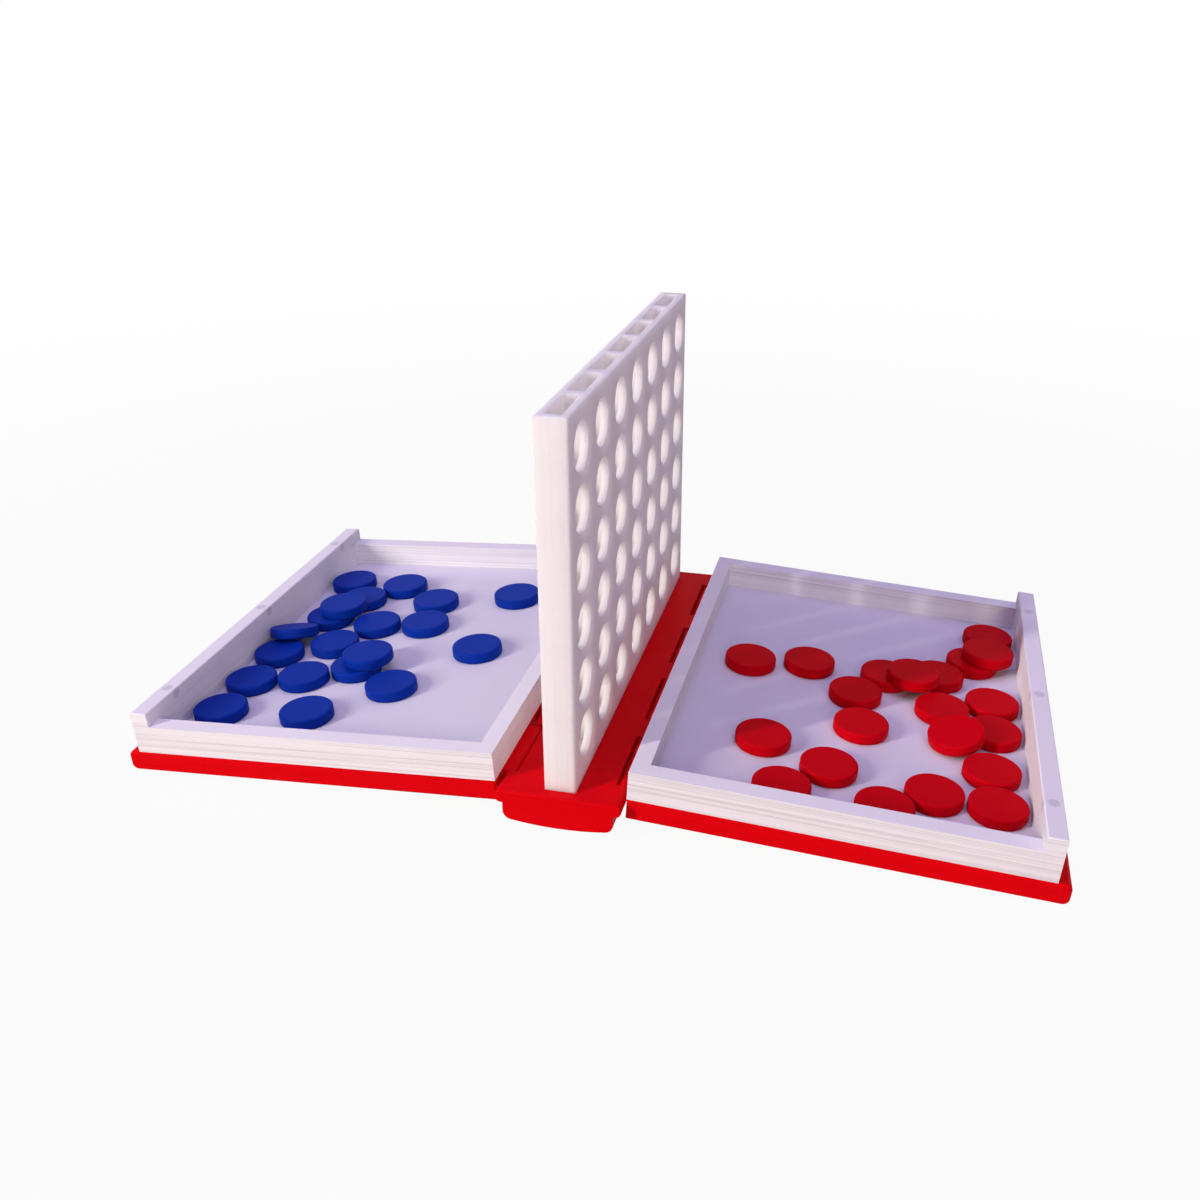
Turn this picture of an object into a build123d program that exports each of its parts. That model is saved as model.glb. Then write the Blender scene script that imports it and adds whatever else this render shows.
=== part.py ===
from build123d import *
from math import atan, cos, degrees, radians, sin
import os

# Four-in-a-row travel game that opens like a book. A windowed grid stands in a red spine, and
# two trays of discs, on red covers, hinge up until they close against the grid.
# Millimetres. +X is across the spine towards the right tray, +Y is along the spine, +Z is up.
# The origin is on the table, under the middle of the grid, with both covers open.

# Discs and the field that they fill
columns = 7
rows = 6
disc_diameter = 18.8
disc_thickness = 4.0
disc_bevel = 0.6

# Grid
slot_side_gap = 0.4
slot_play = 1.2
divider = 3.8
end_wall = 3.5
face_wall = 2.4
window_lip = 1.8
grid_floor = 4.5
grid_brow = 2.7
grid_round = 0.5

# Spine
groove_depth = 4.0
groove_fit = 0.1
plate_thickness = 4.4
spine_overhang = 4.0
back_inset = 2.6
back_depth = 5.6
back_crown = 1.5
back_corner = 3.0
spine_round = 0.4

# Hinges
knuckles = 4
notch_length = 29.0
spine_knuckle = 12.0
knuckle_gap = 0.5
barrel_gap = 0.3
stop_gap = 0.05
heel_inset = 0.6
pin_diameter = 1.75
pin_press_gap = 0.05
pin_running_gap = 0.08
pin_end_wall = 3.5
pin_recess = 0.5
open_tilt = 3.7

# Covers
cover_thickness = 7.3
cover_rise = 2.8
cover_lip = 4.4
cover_round = 2.2
cover_inner_round = 1.2
cover_end_round = 0.8

# Trays
close_gap = 0.4
top_gap = 2.0
tray_height = 10.0
tray_floor = 0.6
inner_wall = 5.6
side_wall = 6.0
magnet_shell = 1.0
rim_round = 0.5

# Magnets
magnets = 3
magnet_diameter = 4.0
magnet_thickness = 2.0
magnet_inset = 18.0
magnet_skin = 0.6
magnet_fit = 0.05

# Grid sizes that follow from the discs
disc_radius = disc_diameter / 2
slot_length = disc_diameter + 2 * slot_side_gap
slot_width = disc_thickness + slot_play
column_pitch = slot_length + divider
grid_thickness = slot_width + 2 * face_wall
grid_length = columns * column_pitch - divider + 2 * end_wall
grid_height = grid_floor + rows * disc_diameter + grid_brow

# The hinge stands out far enough for a closed tray to lie against the grid
hinge_x = grid_thickness / 2 + close_gap + tray_height + cover_rise
barrel_radius = plate_thickness / 2 - barrel_gap
pin_radius = pin_diameter / 2
knuckle_pitch = notch_length + spine_knuckle
cover_drop = cover_thickness - cover_rise
raised_height = tray_height + grid_thickness / 2
pocket_end = plate_thickness / 2 + grid_height + top_gap
outer_wall = magnet_diameter + 2 * magnet_shell
tray_end = pocket_end + outer_wall
magnet_spacing = (grid_length - 2 * magnet_inset) / (magnets - 1)
cover_end = tray_end + cover_lip
cover_start = cover_rise

# The open covers slope down to the table, which their outer edges touch, and carry the spine
tilt = radians(open_tilt)
edge_fall = (cover_end - cover_round) * sin(tilt) + (cover_drop - cover_round) * cos(tilt)
hinge_z = edge_fall + cover_round
spine_top = hinge_z + plate_thickness / 2

# Places of the discs: widths back from the raised wall, then widths along the spine from its
# middle. A disc on another has its level, and one that leans has its heading and its support.
blue_places = [
    (0.57, 2.77),
    (1.19, 1.92),
    (1.86, 2.68),
    (0.85, 0.96),
    (2.89, 1.96),
    (4.61, 2.43),
    (3.08, 0.87),
    (2.04, 0.73),
    (1.53, -0.24),
    (0.54, -0.76),
    (2.43, -1.15),
    (4.59, -0.09),
    (0.56, -1.93),
    (1.54, -1.65),
    (3.45, -1.78),
    (0.56, -3.07),
    (2.27, -2.96),
    (5.52, 3.19),
]
blue_stacked = [(1.11, 1.12), (2.65, -1.01)]
blue_leaning = (0.53, -0.06, -100, (0.54, -0.76))
red_places = [
    (5.17, 0.66),
    (4.04, 0.94),
    (3.08, 0.04),
    (2.54, 0.92),
    (1.56, 1.24),
    (0.90, 2.03),
    (0.56, 3.23),
    (1.47, -0.03),
    (0.55, 0.47),
    (0.55, -0.57),
    (0.62, -1.89),
    (2.90, -1.10),
    (4.55, -2.07),
    (3.35, -2.63),
    (4.06, -3.48),
    (2.37, -3.53),
    (1.58, -2.88),
    (0.55, -2.93),
]
red_stacked = [(2.05, 0.74), (0.62, 2.13)]
red_leaning = (1.21, -1.04, 30, (0.55, -0.57))

os.makedirs("parts", exist_ok=True)


def side_frame(side):
    """Hinge axis of one side, with x out along its open cover and z out of the cover's top."""
    return Plane(
        origin=(side * hinge_x, 0, hinge_z),
        x_dir=(side * cos(tilt), 0, -sin(tilt)),
        z_dir=(side * sin(tilt), 0, cos(tilt)),
    )


def cross_section(frame, along=0):
    """Plane across the spine, with x and y as the frame's x and z."""
    return Plane(origin=frame.origin, x_dir=frame.x_dir, z_dir=-frame.y_dir).offset(along)


def evenly(count, pitch):
    return [(i - (count - 1) / 2) * pitch for i in range(count)]


def make_spine():
    across = Plane.XZ.shift_origin((0, 0, spine_top))
    half_plate = hinge_x + plate_thickness / 2
    half_back = half_plate - back_inset
    back_edge = -plate_thickness - back_depth
    length = grid_length + 2 * spine_overhang
    with BuildPart() as spine:
        # Plate with round knuckle edges, over a back that bulges like a book's
        with BuildSketch(across):
            with Locations((0, -plate_thickness / 2)):
                SlotOverall(2 * half_plate, plate_thickness)
        extrude(amount=length / 2, both=True)
        with BuildSketch(across) as back:
            with BuildLine():
                Polyline(
                    (-half_back, back_edge),
                    (-half_back, -plate_thickness / 2),
                    (half_back, -plate_thickness / 2),
                    (half_back, back_edge),
                )
                ThreePointArc((half_back, back_edge), (0, back_edge - back_crown), (-half_back, back_edge))
            make_face()
            fillet(back.vertices().group_by(Axis.Y)[0], back_corner)
        extrude(amount=length / 2, both=True)
        ends = spine.faces().filter_by(Axis.Y)
        fillet(ends.edges(), spine_round)
        # Groove that the grid stands in
        with BuildSketch(Plane.XY.offset(spine_top)):
            Rectangle(grid_thickness + 2 * groove_fit, grid_length + 2 * groove_fit)
        extrude(amount=-groove_depth, mode=Mode.SUBTRACT)
        # Notches for the covers' knuckles, and the bores for the pins
        notch_width = half_plate - (hinge_x - plate_thickness / 2)
        with BuildSketch(Plane.XY.offset(spine_top)):
            for side in (-1, 1):
                with Locations([(side * hinge_x, y) for y in evenly(knuckles, knuckle_pitch)]):
                    Rectangle(notch_width, notch_length)
        extrude(amount=-plate_thickness, mode=Mode.SUBTRACT)
        far_end = Plane(origin=(0, length / 2, hinge_z), x_dir=(-1, 0, 0), z_dir=(0, 1, 0))
        with BuildSketch(far_end):
            with Locations((-hinge_x, 0), (hinge_x, 0)):
                Circle(pin_radius + pin_press_gap)
        extrude(amount=-(length - pin_end_wall), mode=Mode.SUBTRACT)
    spine.part.label = "spine"
    export_step(spine.part, "parts/spine.step")


def make_grid():
    foot = Plane.XY.offset(spine_top - groove_depth)
    with BuildPart() as grid:
        with BuildSketch(foot):
            Rectangle(grid_thickness, grid_length)
        extrude(amount=groove_depth + grid_height)
        fillet(grid.edges().filter_by(Axis.Z), grid_round)
        fillet(grid.faces().sort_by(Axis.Z)[-1].edges(), grid_round)
        # Seven slots that the discs drop down
        with BuildSketch(Plane.XY.offset(spine_top + grid_height)):
            with GridLocations(slot_width, column_pitch, 1, columns):
                Rectangle(slot_width, slot_length)
        extrude(amount=grid_floor - grid_height, mode=Mode.SUBTRACT)
        # Windows through both faces, one for each place in the field
        field_middle = spine_top + grid_floor + rows * disc_diameter / 2
        with BuildSketch(Plane.YZ.shift_origin((0, 0, field_middle))):
            with GridLocations(column_pitch, disc_diameter, columns, rows):
                Circle(disc_radius - window_lip)
        extrude(amount=grid_thickness, both=True, mode=Mode.SUBTRACT)
    grid.part.label = "grid"
    export_step(grid.part, "parts/grid.step")


def make_cover(side, name):
    frame = side_frame(side)
    with BuildPart() as cover:
        with BuildSketch(cross_section(frame)) as plate:
            with Locations((cover_start, -cover_drop)):
                Rectangle(cover_end - cover_start, cover_thickness, align=(Align.MIN, Align.MIN))
            corners = plate.vertices().group_by(Axis.X)
            fillet(corners[-1], cover_round)
            fillet(corners[0].sort_by(Axis.Y)[0], cover_inner_round)
        extrude(amount=grid_length / 2, both=True)
        ends = cover.faces().filter_by(Axis.Y)
        fillet(ends.edges(), cover_end_round)
        # Knuckles: a barrel on an arm, with a heel that stops the open cover at the spine's back
        stop_x = plate_thickness / 2 - back_inset + stop_gap
        heel_bottom = heel_inset - cover_drop
        heel_low = (stop_x - heel_bottom * sin(tilt)) / cos(tilt)
        heel_high = stop_x / cos(tilt)
        for y in evenly(knuckles, knuckle_pitch):
            with BuildSketch(cross_section(frame, y)):
                Circle(barrel_radius)
                with BuildLine():
                    Polyline(
                        (0, barrel_radius),
                        (cover_start + cover_inner_round, barrel_radius),
                        (cover_start + cover_inner_round, heel_bottom),
                        (heel_low, heel_bottom),
                        (heel_high, 0),
                        close=True,
                    )
                make_face()
            extrude(amount=notch_length / 2 - knuckle_gap, both=True)
        with BuildSketch(cross_section(frame)):
            Circle(pin_radius + pin_running_gap)
        extrude(amount=grid_length / 2, both=True, mode=Mode.SUBTRACT)
    cover.part.label = name
    export_step(cover.part, f"parts/{name}.step")


def make_hinge_pin(side, name):
    half_spine = grid_length / 2 + spine_overhang
    near = pin_end_wall - half_spine + pin_press_gap
    far = half_spine - pin_recess
    with BuildPart() as pin:
        with BuildSketch(Plane(origin=(side * hinge_x, near, hinge_z), x_dir=(-1, 0, 0), z_dir=(0, 1, 0))):
            Circle(pin_radius)
        extrude(amount=far - near)
    pin.part.label = name
    export_step(pin.part, f"parts/{name}.step")


def make_tray(side, name):
    base = side_frame(side).offset(cover_rise)
    magnet_seat = raised_height - magnet_skin - magnet_thickness - magnet_fit
    with BuildPart() as tray:
        with BuildSketch(base):
            with Locations((cover_start, 0)):
                Rectangle(tray_end - cover_start, grid_length, align=(Align.MIN, Align.CENTER))
        extrude(amount=tray_height)
        # Outer wall, raised to meet the other tray's over the top of the grid
        with BuildSketch(base):
            with Locations((pocket_end, 0)):
                Rectangle(outer_wall, grid_length, align=(Align.MIN, Align.CENTER))
        extrude(amount=raised_height)
        up = Axis(base.origin, base.z_dir)
        fillet(tray.faces().sort_by(up)[-1].edges(), rim_round)
        with BuildSketch(base.offset(tray_floor)):
            with Locations((cover_start + inner_wall, 0)):
                Rectangle(
                    pocket_end - cover_start - inner_wall,
                    grid_length - 2 * side_wall,
                    align=(Align.MIN, Align.CENTER),
                )
        extrude(amount=tray_height - tray_floor, mode=Mode.SUBTRACT)
        # Sealed pockets for the magnets, just under the raised rim
        with BuildSketch(base.offset(magnet_seat)):
            with Locations([(pocket_end + outer_wall / 2, y) for y in evenly(magnets, magnet_spacing)]):
                Circle(magnet_diameter / 2 + magnet_fit)
        extrude(amount=magnet_thickness + 2 * magnet_fit, mode=Mode.SUBTRACT)
    tray.part.label = name
    export_step(tray.part, f"parts/{name}.step")


def make_magnets(side, name):
    seat = side_frame(side).offset(cover_rise + raised_height - magnet_skin - magnet_thickness)
    for i, y in enumerate(evenly(magnets, magnet_spacing)):
        with BuildPart() as magnet:
            with BuildSketch(seat):
                with Locations((pocket_end + outer_wall / 2, side * y)):
                    Circle(magnet_diameter / 2)
            extrude(amount=magnet_thickness)
        magnet.part.label = f"{name}_{i + 1}"
        export_step(magnet.part, f"parts/{magnet.part.label}.step")


def tray_spot(side, back, along, level=0):
    """Plane on a tray's floor, or on the discs there, at a place given in disc widths."""
    seat = side_frame(side).offset(cover_rise + tray_floor + level * disc_thickness)
    return seat.shift_origin(seat.from_local_coords(
        (pocket_end - back * disc_diameter, side * along * disc_diameter, 0)
    ))


def lean_angle(reach):
    """Slope of a disc whose low edge is on the floor and whose face lies on the rim of a flat
    disc, with the two centres this far apart along the slope."""
    angle = 0.0
    for _ in range(20):
        angle = atan(disc_thickness / (reach - disc_radius + disc_radius * cos(angle)))
    return angle


def leaning_spot(side, back, along, heading, support):
    turn = radians(heading)
    out = (back - support[0]) * disc_diameter
    away = (support[1] - along) * disc_diameter
    angle = lean_angle(out * cos(turn) + away * sin(turn))
    uphill = tray_spot(side, back, along) * Rot(Z=side * heading)
    return uphill * Pos(Z=disc_radius * sin(angle)) * Rot(Y=-degrees(angle))


def make_disc(spot, name):
    with BuildPart() as disc:
        with BuildSketch(spot):
            Circle(disc_radius)
        extrude(amount=disc_thickness)
        chamfer(disc.edges().filter_by(GeomType.CIRCLE), disc_bevel)
    disc.part.label = name
    export_step(disc.part, f"parts/{name}.step")


def make_discs(side, colour, places, stacked, leaning):
    spots = [tray_spot(side, back, along) for back, along in places]
    spots += [tray_spot(side, back, along, 1) for back, along in stacked]
    spots.append(leaning_spot(side, *leaning))
    for i, spot in enumerate(spots):
        make_disc(spot, f"{colour}_disc_{i + 1:02d}")


make_spine()
make_grid()
for side, name in ((-1, "left"), (1, "right")):
    make_cover(side, f"{name}_cover")
    make_hinge_pin(side, f"{name}_hinge_pin")
    make_tray(side, f"{name}_tray")
    make_magnets(side, f"{name}_magnet")
make_discs(-1, "blue", blue_places, blue_stacked, blue_leaning)
make_discs(1, "red", red_places, red_stacked, red_leaning)
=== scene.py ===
import math
import random

import bmesh
import bpy
import numpy as np
from mathutils import Matrix, Vector


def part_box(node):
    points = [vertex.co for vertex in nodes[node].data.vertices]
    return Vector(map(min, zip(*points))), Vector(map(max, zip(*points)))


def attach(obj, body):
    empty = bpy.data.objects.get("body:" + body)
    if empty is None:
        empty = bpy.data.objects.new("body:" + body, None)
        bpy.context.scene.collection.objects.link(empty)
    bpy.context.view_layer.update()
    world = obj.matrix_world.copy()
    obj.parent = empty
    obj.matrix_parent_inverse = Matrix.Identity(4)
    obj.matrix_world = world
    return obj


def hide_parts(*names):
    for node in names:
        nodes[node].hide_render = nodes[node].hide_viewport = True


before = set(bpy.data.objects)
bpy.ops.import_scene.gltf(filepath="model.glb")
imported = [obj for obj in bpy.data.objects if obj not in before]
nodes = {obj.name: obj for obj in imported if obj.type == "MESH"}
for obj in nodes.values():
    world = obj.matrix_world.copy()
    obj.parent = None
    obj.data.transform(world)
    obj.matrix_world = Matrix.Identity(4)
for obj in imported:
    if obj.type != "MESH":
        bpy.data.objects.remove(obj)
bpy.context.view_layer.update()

scene = bpy.context.scene
mm = 0.001  # Blender works in metres, the sizes below are in millimetres


# sRGB hex to the linear colour that the shaders take
def linear(hexColour):
    parts = [int(hexColour[i:i + 2], 16) / 255 for i in (1, 3, 5)]
    return [c / 12.92 if c <= 0.04045 else ((c + 0.055) / 1.055) ** 2.4 for c in parts] + [1.0]


# adds a node, sets or links its inputs, and gives back one of its outputs
def addNode(tree, kind, inputs=None, output=0, **settings):
    node = tree.nodes.new("ShaderNode" + kind)
    for name, value in settings.items():
        setattr(node, name, value)
    for socket, value in (inputs or {}).items():
        if isinstance(value, bpy.types.NodeSocket):
            tree.links.new(value, node.inputs[socket])
        else:
            node.inputs[socket].default_value = value
    return node.outputs[output]


def newMaterial(name):
    material = bpy.data.materials.new(name)
    material.use_nodes = True
    return material, material.node_tree, material.node_tree.nodes["Principled BSDF"]


# a camera or a lamp at one place, pointed at another
def pointedAt(place, aim):
    turn = (aim - place).to_track_quat("-Z", "Y").to_matrix().to_4x4()
    return Matrix.Translation(place) @ turn


# camera, at the photograph's place

camera = {
    "place": (93.3, -384.7, 232.1),
    "aim": (-0.9, 0.0, 45.55),
    "roll": 0.15,  # degrees
    "lens": 36.54,
    "sensor": 36,
    "shift": (-0.0172, -0.0078),
    "nearest": 10,
}


def makeCamera(c):
    lens = bpy.data.cameras.new("photoCamera")
    lens.lens, lens.sensor_width = c["lens"], c["sensor"]
    lens.shift_x, lens.shift_y = c["shift"]
    lens.clip_start = c["nearest"] * mm
    body = bpy.data.objects.new("photoCamera", lens)
    scene.collection.objects.link(body)
    place, aim = Vector(c["place"]) * mm, Vector(c["aim"]) * mm
    body.matrix_world = pointedAt(place, aim) @ Matrix.Rotation(-math.radians(c["roll"]), 4, "Z")
    scene.camera = body


makeCamera(camera)
print("camera set")


# printed plastics

tilt = math.radians(3.7)  # the open covers slope down to the table
upright = (0, 0, 1)
across = (1, 0, 0)
alongHinges = (0, 1, 0)
leftUp = (-math.sin(tilt), 0, math.cos(tilt))
rightUp = (math.sin(tilt), 0, math.cos(tilt))
plasticIor = 1.46  # PLA's

# how the patterns are drawn, the same on every printed part
printing = {
    "flat": 0.9, "side": 0.5,  # how squarely a surface faces along the layers
    # the noise at which each pattern starts, and at which it is full
    "lines": {"From Min": 0.50, "From Max": 0.34},
    "bands": {"From Min": 0.36, "From Max": 0.64},
    "mottle": {"From Min": 0.3, "From Max": 0.7},
    "cloud": 18,  # size of the faint clouds
    "duller": 0.08, "shinier": 0.06,  # how far the grain changes the roughness
    "scatter": (1.0, 0.95, 0.88),  # how deep red, green and blue go into thin white walls
    "level": 0.99,  # how squarely a tray's floor faces up
    "floorMargin": 0.4,
}


# PLA laid down in layers: they show as uneven lines on the sides, and hardly on the flats
def printedPlastic(name, look, layerAxis, magnets=None, floorHeight=None):
    p = printing
    material, tree, shader = newMaterial(name)
    place = addNode(tree, "TexCoord", output="Object")
    normal = addNode(tree, "TexCoord", output="Normal")
    inMm = addNode(tree, "VectorMath", {0: place, 3: 1 / mm}, operation="SCALE")
    height = addNode(tree, "VectorMath", {0: inMm, 1: layerAxis}, "Value", operation="DOT_PRODUCT")
    facing = {0: normal, 1: layerAxis}
    facing = addNode(tree, "VectorMath", facing, "Value", operation="DOT_PRODUCT")
    flat = addNode(tree, "Math", {0: facing}, operation="ABSOLUTE")
    side = addNode(tree, "MapRange", {"Value": flat, "From Min": p["flat"], "From Max": p["side"]})
    # the lines are clearest on the walls that face along the hinges
    ends = {0: normal, 1: alongHinges}
    ends = addNode(tree, "VectorMath", ends, "Value", operation="DOT_PRODUCT")
    ends = addNode(tree, "Math", {0: ends}, operation="ABSOLUTE")
    clear = addNode(tree, "MapRange", {"Value": ends, "To Min": look["sideLines"]})
    clear = addNode(tree, "Math", {0: clear, 1: side}, operation="MULTIPLY")

    # uneven layers: noise drawn long along them and short across them
    along = addNode(tree, "VectorMath", {0: inMm, 3: 1 / look["bandLength"]}, operation="SCALE")

    def layered(pitch, detail, limits, **settings):
        level = addNode(tree, "Math", {0: height, 1: 1 / pitch}, operation="MULTIPLY")
        lift = addNode(tree, "VectorMath", {0: layerAxis, 3: level}, operation="SCALE")
        spread = addNode(tree, "VectorMath", {0: along, 1: lift}, operation="ADD")
        noise = addNode(tree, "TexNoise", {"Vector": spread, "Scale": 1.0, "Detail": detail})
        return addNode(tree, "MapRange", {"Value": noise, **limits}, **settings)

    lines = layered(look["linePitch"], 1.0, p["lines"], interpolation_type="SMOOTHSTEP")
    bands = layered(look["bandPitch"], 2.0, p["bands"])
    grain = addNode(tree, "TexNoise", {"Vector": inMm, "Scale": 1 / look["grain"], "Detail": 2.0})
    cloud = addNode(tree, "TexNoise", {"Vector": inMm, "Scale": 1 / p["cloud"], "Detail": 3.0})

    # colour: each pattern takes away a little
    shades = []
    for pattern, amount in (
        (addNode(tree, "Math", {0: lines, 1: clear}, operation="MULTIPLY"), look["lineShade"]),
        (addNode(tree, "Math", {0: bands, 1: clear}, operation="MULTIPLY"), look["bandShade"]),
        (addNode(tree, "MapRange", {"Value": grain, **p["mottle"]}), look["grainShade"]),
        (addNode(tree, "MapRange", {"Value": cloud, **p["mottle"]}), look["cloudShade"]),
    ):
        less = {"Value": pattern, "To Min": 1.0, "To Max": 1 - amount}
        shades.append(addNode(tree, "MapRange", less))
    if magnets:
        shades.append(magnetSpots(tree, inMm, side, height, magnets))
    total = shades[0]
    for shade in shades[1:]:
        total = addNode(tree, "Math", {0: total, 1: shade}, operation="MULTIPLY")
    base = linear(look["colour"])[:3]
    # painted shade: the trays' floors are the same white as the rims, drawn darker and more
    # lavender where they lie low between the walls
    if floorHeight:
        top = floorHeight + p["floorMargin"]
        low = addNode(tree, "Math", {0: height, 1: top}, operation="LESS_THAN")
        floor = addNode(tree, "Math", {0: facing, 1: p["flat"]}, operation="GREATER_THAN")
        floor = addNode(tree, "Math", {0: floor, 1: low}, operation="MULTIPLY")
        both = {0: floor, 6: linear(look["colour"]), 7: linear(look["floorShadeColour"])}
        base = addNode(tree, "Mix", both, 2, data_type="RGBA")
    colour = addNode(tree, "VectorMath", {0: base, 3: total}, operation="SCALE")
    tree.links.new(colour, shader.inputs["Base Color"])

    # relief: layers on the sides, the nozzle's diagonal tracks on the flats, and grain all over
    turns = addNode(tree, "Math", {0: height, 1: 2 * math.pi / look["layer"]}, operation="MULTIPLY")
    layers = addNode(tree, "Math", {0: turns}, operation="SINE")
    diagonal = (math.sqrt(2) * math.pi / look["track"],) * 3
    track = addNode(tree, "VectorMath", {0: inMm, 1: diagonal}, "Value", operation="DOT_PRODUCT")
    tracks = addNode(tree, "Math", {0: track}, operation="SINE")
    ridges = addNode(tree, "Math", {0: layers, 1: look["layerDepth"]}, operation="MULTIPLY")
    grooves = {0: lines, 1: -look["lineDepth"], 2: ridges}
    grooves = addNode(tree, "Math", grooves, operation="MULTIPLY_ADD")
    onSides = addNode(tree, "Math", {0: grooves, 1: side}, operation="MULTIPLY")
    onFlats = addNode(tree, "Math", {0: tracks, 1: look["trackDepth"]}, operation="MULTIPLY")
    onFlats = addNode(tree, "Math", {0: onFlats, 1: flat}, operation="MULTIPLY")
    relief = addNode(tree, "Math", {0: onSides, 1: onFlats}, operation="ADD")
    relief = {0: grain, 1: look["grainDepth"], 2: relief}
    relief = addNode(tree, "Math", relief, operation="MULTIPLY_ADD")
    bump = addNode(tree, "Bump", {"Height": relief, "Strength": 1.0, "Distance": mm})
    tree.links.new(bump, shader.inputs["Normal"])

    gloss = addNode(tree, "MapRange", {
        "Value": grain,
        "To Min": look["roughness"] - p["shinier"],
        "To Max": look["roughness"] + p["duller"],
    })
    tree.links.new(gloss, shader.inputs["Roughness"])
    shader.inputs["IOR"].default_value = plasticIor
    shader.inputs["Specular IOR Level"].default_value = look["specular"]
    if "glow" in look:
        shader.inputs["Subsurface Weight"].default_value = look["glow"]
        shader.inputs["Subsurface Radius"].default_value = p["scatter"]
        shader.inputs["Subsurface Scale"].default_value = look["glowDepth"] * mm
    return material


# Grey spots where the magnets show through the white, on the rim and lower down on the wall's
# sides. They are round on both: the distance from the middle is taken outward and along on the
# rim, and up and along on the sides.
def magnetSpots(tree, inMm, side, height, m):
    out = addNode(tree, "VectorMath", {0: inMm, 1: m["outward"]}, "Value", operation="DOT_PRODUCT")
    along = addNode(tree, "VectorMath", {0: inMm, 1: alongHinges}, "Value", operation="DOT_PRODUCT")
    fold = {0: along, 1: -m["pitch"] / 2, 2: m["pitch"] / 2}
    fold = addNode(tree, "Math", fold, operation="WRAP")
    fromRow = addNode(tree, "Math", {0: out, 1: m["out"]}, operation="SUBTRACT")
    fromMiddle = addNode(tree, "Math", {0: height, 1: m["height"]}, operation="SUBTRACT")
    onSide = addNode(tree, "Math", {0: side, 1: fromMiddle}, operation="MULTIPLY")
    rim = addNode(tree, "Math", {0: 1.0, 1: side}, operation="SUBTRACT")
    distance = addNode(tree, "Math", {0: rim, 1: fromRow, 2: onSide}, operation="MULTIPLY_ADD")
    plane = addNode(tree, "CombineXYZ", {"X": distance, "Y": fold})
    reach = addNode(tree, "VectorMath", {0: plane}, "Value", operation="LENGTH")
    spot = {
        "Value": reach,
        "From Min": m["radius"] + m["softOutside"],
        "From Max": m["radius"] - m["softInside"],
    }
    spot = addNode(tree, "MapRange", spot, interpolation_type="SMOOTHSTEP")
    # only near the top of the raised wall, and fainter on its sides
    nearTop = {"Value": fromMiddle, "From Min": m["fadeEnd"], "From Max": m["fadeStart"]}
    nearTop = addNode(tree, "MapRange", nearTop)
    grey = {"Value": side, "To Min": m["rimGrey"], "To Max": m["wallGrey"]}
    grey = addNode(tree, "MapRange", grey)
    shown = addNode(tree, "Math", {0: spot, 1: nearTop}, operation="MULTIPLY")
    shown = addNode(tree, "Math", {0: shown, 1: grey}, operation="MULTIPLY")
    return addNode(tree, "Math", {0: 1.0, 1: shown}, operation="SUBTRACT")


# White PLA, printed: chalky white, with thin grey lines between the layers of its sides.
# The real layers are 0.2 mm. Their ridges are drawn 0.4 mm apart, and the lines coarser still,
# as where several layers run together.
whiteLook = {
    # floorShadeColour is painted shade on the trays' floors, which are the same white plastic as
    # the rest
    "colour": "#F3F1F5", "floorShadeColour": "#DFDDE8", "roughness": 0.52, "specular": 0.15,
    "layer": 0.4, "layerDepth": 0.008,
    "linePitch": 0.42, "lineShade": 0.16, "lineDepth": 0.05, "sideLines": 0.35,
    "bandPitch": 1.8, "bandLength": 150, "bandShade": 0.04, "cloudShade": 0.02,
    "track": 0.9, "trackDepth": 0.002,
    "grain": 0.3, "grainShade": 0.03, "grainDepth": 0.010,
}
# the grid was printed lying down, finer and more evenly, and its thin walls let light through
gridLook = dict(
    whiteLook, colour="#F5F2F2", linePitch=0.6, lineShade=0.035, lineDepth=0.012, bandShade=0.03,
    glow=1.0, glowDepth=6.0,
)
# red PLA, printed: strong red, softly shiny, its layers hardly seen
redLook = {
    "colour": "#E4000E", "roughness": 0.45, "specular": 0.04,
    "layer": 0.4, "layerDepth": 0.004,
    "linePitch": 0.7, "lineShade": 0.05, "lineDepth": 0.008, "sideLines": 1.0,
    "bandPitch": 2.2, "bandLength": 120, "bandShade": 0.05, "cloudShade": 0.04,
    "track": 0.9, "trackDepth": 0.002,
    "grain": 0.35, "grainShade": 0.10, "grainDepth": 0.008,
}

magnetLook = {
    "pitch": 65.5, "radius": 2.0,
    "softOutside": 0.35, "softInside": 0.75,
    "fadeStart": -2.5, "fadeEnd": -3.5,  # below the magnet's middle
    "rimGrey": 0.22, "wallGrey": 0.2,
}


# where a tray's magnets are, measured along its own directions
def magnetsOf(word, side, up):
    outward = Vector((side * math.cos(tilt), 0, -math.sin(tilt)))
    low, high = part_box(word + "_magnet_2")
    middle = (low + high) / 2 / mm
    place = {"out": middle.dot(outward), "height": middle.dot(Vector(up))}
    return dict(magnetLook, outward=tuple(outward), **place)


# how high a tray's floor lies along its own up direction
def floorOf(tray, up):
    level = printing["level"]
    faces = [f for f in nodes[tray].data.polygons if f.normal.dot(Vector(up)) > level]
    return min(f.center.dot(Vector(up)) for f in faces) / mm


def dress(node, material):
    for slot in nodes[node].material_slots:
        slot.material = material


dress("grid", printedPlastic("white PLA printed grid", gridLook, across))
for side, word, up in ((-1, "left", leftUp), (1, "right", rightUp)):
    tray, magnets = word + "_tray", magnetsOf(word, side, up)
    white, red = f"white PLA printed {word} tray", f"red PLA printed {word} cover"
    dress(tray, printedPlastic(white, whiteLook, up, magnets, floorOf(tray, up)))
    dress(word + "_cover", printedPlastic(red, redLook, up))
dress("spine", printedPlastic("red PLA printed spine", redLook, upright))
print("printed plastics made")


# hidden parts

# PLA rod drawn to 1.75 mm: smooth and shiny, with fine lines along it
rodLook = {
    "colour": "#D0000C", "roughness": 0.3,
    "lineWidth": 0.25, "lineLength": 25, "lineShade": 0.1,
}
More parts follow.
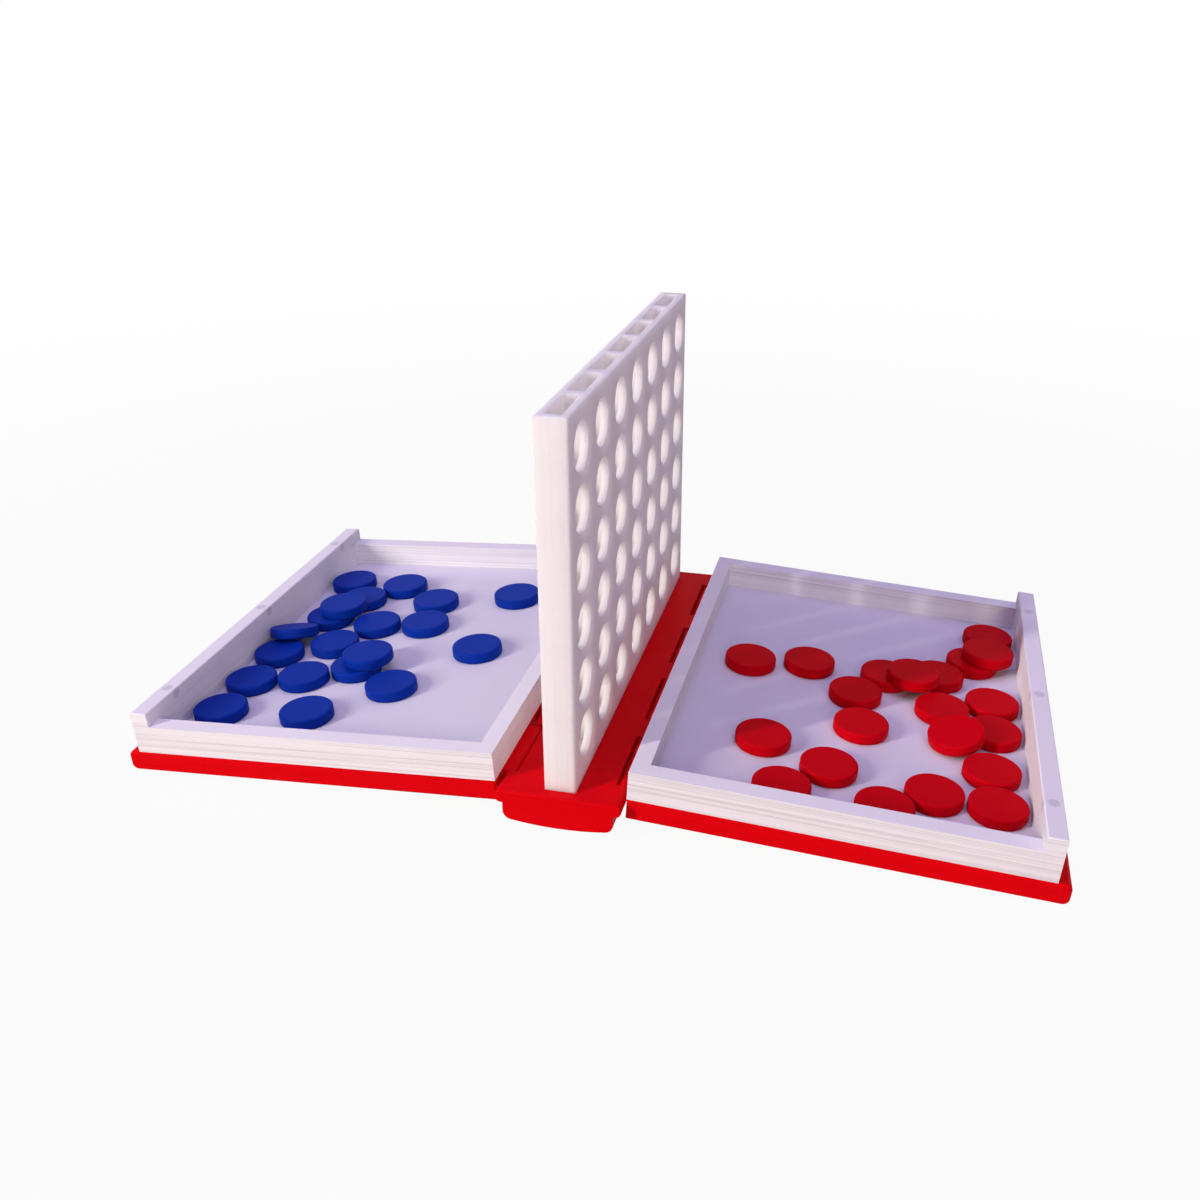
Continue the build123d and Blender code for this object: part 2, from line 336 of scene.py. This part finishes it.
# neodymium magnet, nickel plated: bright grey metal with a faint mottle, under a millimetre wide
nickelLook = {"colour": "#C6C2BC", "roughness": (0.16, 0.3), "mottlePerMetre": 1200}


def rodPlastic(look):
    material, tree, shader = newMaterial("red PLA drawn rod")
    place = addNode(tree, "TexCoord", output="Object")
    fine, long = 1 / (look["lineWidth"] * mm), 1 / (look["lineLength"] * mm)
    drawn = addNode(tree, "VectorMath", {0: place, 1: (fine, long, fine)}, operation="MULTIPLY")
    lines = addNode(tree, "TexNoise", {"Vector": drawn, "Scale": 1.0})
    shade = {"Value": lines, "To Min": 1 - look["lineShade"], "To Max": 1.0}
    shade = addNode(tree, "MapRange", shade)
    base = linear(look["colour"])[:3]
    colour = addNode(tree, "VectorMath", {0: base, 3: shade}, operation="SCALE")
    tree.links.new(colour, shader.inputs["Base Color"])
    shader.inputs["Roughness"].default_value = look["roughness"]
    shader.inputs["IOR"].default_value = plasticIor
    return material


def nickelPlate(look):
    material, tree, shader = newMaterial("nickel plated magnet")
    place = addNode(tree, "TexCoord", output="Object")
    mottle = addNode(tree, "TexNoise", {"Vector": place, "Scale": look["mottlePerMetre"]})
    low, high = look["roughness"]
    gloss = addNode(tree, "MapRange", {"Value": mottle, "To Min": low, "To Max": high})
    tree.links.new(gloss, shader.inputs["Roughness"])
    shader.inputs["Base Color"].default_value = linear(look["colour"])
    shader.inputs["Metallic"].default_value = 1.0
    return material


rod, nickel = rodPlastic(rodLook), nickelPlate(nickelLook)
for name in nodes:
    if name.endswith("hinge_pin"):
        dress(name, rod)
    if "_magnet_" in name:
        dress(name, nickel)


# soft printed edges on the case

edge = {
    "widths": {
        "grid": 0.25, "left_tray": 0.25, "right_tray": 0.25,
        "spine": 0.35, "left_cover": 0.6, "right_cover": 0.6,
    },
    "weld": 0.002, "segments": 2,
    "sharpest": 40,  # degrees, edges that turn by less stay as they are
}


def softenEdges(e):
    for name, width in e["widths"].items():
        weld = nodes[name].modifiers.new("weld", "WELD")
        weld.merge_threshold = e["weld"] * mm
        bevel = nodes[name].modifiers.new("bevel", "BEVEL")
        bevel.width = width * mm
        bevel.segments = e["segments"]
        bevel.limit_method = "ANGLE"
        bevel.angle_limit = math.radians(e["sharpest"])
        bevel.use_clamp_overlap = True
        bevel.harden_normals = True


softenEdges(edge)
print("edges softened")


# discs

disc = {
    "count": 21,  # of each colour
    "radius": 9.4, "thickness": 4.0, "around": 96,
    "round": 0.75, "roundSteps": 5,
    "flatEdge": 0.6,  # from the flat's last ring to the rounding
    "underRing": 0.45,  # share of the radius
    "dish": 0.05, "dishEdge": 0.3, "dishFloor": 0.6,  # the top sinks a little inside its rim
    "seam": 0.12, "seamWidth": 0.7,  # where each layer starts and stops
}
discLooks = {
    # blue PLA, printed: deep blue with a chalky bloom
    "blue": dict(
        redLook, colour="#0632A2", roughness=0.48, specular=0.06,
        grain=0.4, grainShade=0.22, grainDepth=0.02,
        linePitch=0.5, lineShade=0.18, bandLength=60,
    ),
    # red PLA, printed: a cooler, deeper red than the case
    "red": dict(
        redLook, colour="#D20014", roughness=0.46, specular=0.03,
        grain=0.4, grainShade=0.16, grainDepth=0.016,
        linePitch=0.5, lineShade=0.14, bandLength=60,
    ),
}


# radius and height of each ring, from the middle of the underside round to the middle of the top
def discProfile(d):
    r, t, e = d["radius"], d["thickness"], d["round"]
    flat = r - e - d["flatEdge"]
    turns = [math.pi / 2 * i / d["roundSteps"] for i in range(d["roundSteps"] + 1)]
    profile = [(0.0, 0.0), (r * d["underRing"], 0.0), (flat, 0.0), (r - e, 0.0)]
    profile += [(r - e + e * math.sin(a), e - e * math.cos(a)) for a in turns[1:]]
    profile.append((r, t / 2))
    profile += [(r - e + e * math.cos(a), t - e + e * math.sin(a)) for a in turns]
    profile.append((flat, t - d["dish"] * d["dishEdge"]))
    profile += [(r * d["dishFloor"], t - d["dish"]), (0.0, t - d["dish"])]
    return profile


# one disc turned from its profile, with rounded rims and a seam down its side
def discMesh(d):
    n, sideFrom = d["around"], d["radius"] - d["round"] / 2
    mesh = bmesh.new()
    rings = []
    for radius, z in discProfile(d):
        if radius == 0:
            rings.append([mesh.verts.new((0, 0, z * mm))])
            continue
        ring = []
        for k in range(n):
            a = 2 * math.pi * k / n
            reach = radius
            if radius > sideFrom:
                away = min(a, 2 * math.pi - a) * radius
                proud = d["seam"] * math.exp(-(away / d["seamWidth"]) ** 2)
                reach += proud - d["seam"] / 2
            point = (reach * math.cos(a) * mm, reach * math.sin(a) * mm, z * mm)
            ring.append(mesh.verts.new(point))
        rings.append(ring)
    for low, high in zip(rings, rings[1:]):
        for k in range(n):
            a, b = k, (k + 1) % n
            if len(low) == 1:
                mesh.faces.new((low[0], high[b], high[a]))
            elif len(high) == 1:
                mesh.faces.new((low[a], low[b], high[0]))
            else:
                mesh.faces.new((low[a], low[b], high[b], high[a]))
    bmesh.ops.recalc_face_normals(mesh, faces=mesh.faces)
    for face in mesh.faces:
        face.smooth = True
    data = bpy.data.meshes.new("disc")
    mesh.to_mesh(data)
    mesh.free()
    return data


# middle of a disc's lower face and its directions, from its CAD solid
def discPlace(node):
    points = np.array([v.co for v in nodes[node].data.vertices])
    middle = (points.max(0) + points.min(0)) / 2
    axis = np.linalg.svd(points - points.mean(0), full_matrices=False)[2][2]
    axis = axis if axis[2] > 0 else -axis
    spread = (points - middle) @ axis
    low = Vector(middle + axis * spread.min())
    turn = Vector(axis).to_track_quat("Z", "Y").to_matrix().to_4x4()
    return Matrix.Translation(low) @ turn


def makeDiscs(d):
    mesh = discMesh(d)
    bodies = {"blue": "left_side", "red": "right_side"}
    for colour, look in discLooks.items():
        data = mesh.copy()
        data.name = colour + "Disc"
        data.materials.append(printedPlastic(colour + " PLA printed disc", look, upright))
        for i in range(1, d["count"] + 1):
            node = f"{colour}_disc_{i:02d}"
            piece = bpy.data.objects.new(f"{colour}Disc{i:02d}", data)
            scene.collection.objects.link(piece)
            spin = random.Random(i * 7 + len(colour)).uniform(0, 2 * math.pi)
            piece.matrix_world = discPlace(node) @ Matrix.Rotation(spin, 4, "Z")
            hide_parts(node)
            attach(piece, bodies[colour])


makeDiscs(disc)
print("discs made")


# table and light

# Two upright strip lights stand in front, left and right. Their narrow width gives the shadows of
# upright edges their crisp line, and their height softens the shadows of the trays and discs.
# A soft box stands behind the camera and shines into the windows that it sees. A lavender ceiling
# over a dim room lights what faces up. Places and sizes here are in metres.
lamps = {
    "keyStrip": {
        "from": (-1.61, -1.56, 0.94), "wide": 0.07, "tall": 1.0, "power": 45.0, "colour": "#FFF7EC",
    },
    "fillStrip": {
        "from": (0.8, -0.8, 0.48), "wide": 0.10, "tall": 0.50, "power": 0.7, "colour": "#FFCFB1",
    },
    "frontBox": {
        "from": (1.0, -2.44, 0.85), "wide": 1.0, "tall": 1.0, "power": 17.0, "colour": "#F0EAE0",
    },
}
lampAim = (0, 0, 0.04)
# edge and full: the rise at which the ceiling starts and is brightest
ceiling = {"colour": "#D8C6FF", "strength": 1.5, "room": 0.05, "edge": 0.6, "full": 1.0}
table = {
    "half": 6, "below": 0.00002, "paper": "#D2CBC0",
    # how white the camera sees the paper near the game, and from where to where that grows
    "nearWhite": 0.94, "near": 0.25, "far": 0.85,
}


def addLamp(name, lamp):
    data = bpy.data.lights.new(name, "AREA")
    data.shape = "RECTANGLE"
    data.size, data.size_y = lamp["wide"], lamp["tall"]
    data.energy = lamp["power"]
    data.color = linear(lamp["colour"])[:3]
    body = bpy.data.objects.new(name, data)
    scene.collection.objects.link(body)
    body.matrix_world = pointedAt(Vector(lamp["from"]), Vector(lampAim))


# 1 for what sees the white background: the camera, and rays that are mirrored or let through
def seesWhite(tree):
    total = addNode(tree, "LightPath", output="Is Camera Ray")
    for ray in ("Is Glossy Ray", "Is Transmission Ray"):
        more = addNode(tree, "LightPath", output=ray)
        total = addNode(tree, "Math", {0: total, 1: more}, operation="ADD", use_clamp=True)
    return total


def makeTable(t):
    mesh = bmesh.new()
    bmesh.ops.create_grid(mesh, x_segments=1, y_segments=1, size=t["half"])
    data = bpy.data.meshes.new("table")
    mesh.to_mesh(data)
    mesh.free()
    body = bpy.data.objects.new("table", data)
    scene.collection.objects.link(body)
    body.location.z = -t["below"]
    material, tree, shader = newMaterial("pale paper sweep")
    tree.nodes.remove(shader)
    paper = addNode(tree, "BsdfDiffuse", {"Color": linear(t["paper"])})
    glow = addNode(tree, "Emission", {"Color": (1, 1, 1, 1), "Strength": 1.0})
    place = addNode(tree, "TexCoord", output="Object")
    away = addNode(tree, "VectorMath", {0: place}, "Value", operation="LENGTH")
    white = {"Value": away, "From Min": t["near"], "From Max": t["far"], "To Min": t["nearWhite"]}
    white = addNode(tree, "MapRange", white, interpolation_type="SMOOTHSTEP")
    shown = addNode(tree, "Math", {0: seesWhite(tree), 1: white}, operation="MULTIPLY")
    mix = addNode(tree, "MixShader", {0: shown, 1: paper, 2: glow})
    tree.links.new(mix, tree.nodes["Material Output"].inputs["Surface"])
    data.materials.append(material)


def makeWorld(c):
    world = bpy.data.worlds.new("studio")
    scene.world = world
    world.use_nodes = True
    tree = world.node_tree
    direction = addNode(tree, "TexCoord", output="Generated")
    rise = addNode(tree, "VectorMath", {0: direction, 1: upright}, "Value", operation="DOT_PRODUCT")
    level = {
        "Value": rise, "From Min": c["edge"], "From Max": c["full"],
        "To Min": c["room"], "To Max": c["strength"],
    }
    level = addNode(tree, "MapRange", level, interpolation_type="SMOOTHSTEP")
    room = addNode(tree, "Background", {"Color": linear(c["colour"]), "Strength": level})
    white = addNode(tree, "Background", {"Color": (1, 1, 1, 1), "Strength": 1.0})
    mix = addNode(tree, "MixShader", {0: seesWhite(tree), 1: room, 2: white})
    tree.links.new(mix, tree.nodes["World Output"].inputs["Surface"])


makeTable(table)
makeWorld(ceiling)
for name, lamp in lamps.items():
    addLamp(name, lamp)
scene.view_settings.view_transform = "Standard"
print("table and light set")

bpy.context.view_layer.update()
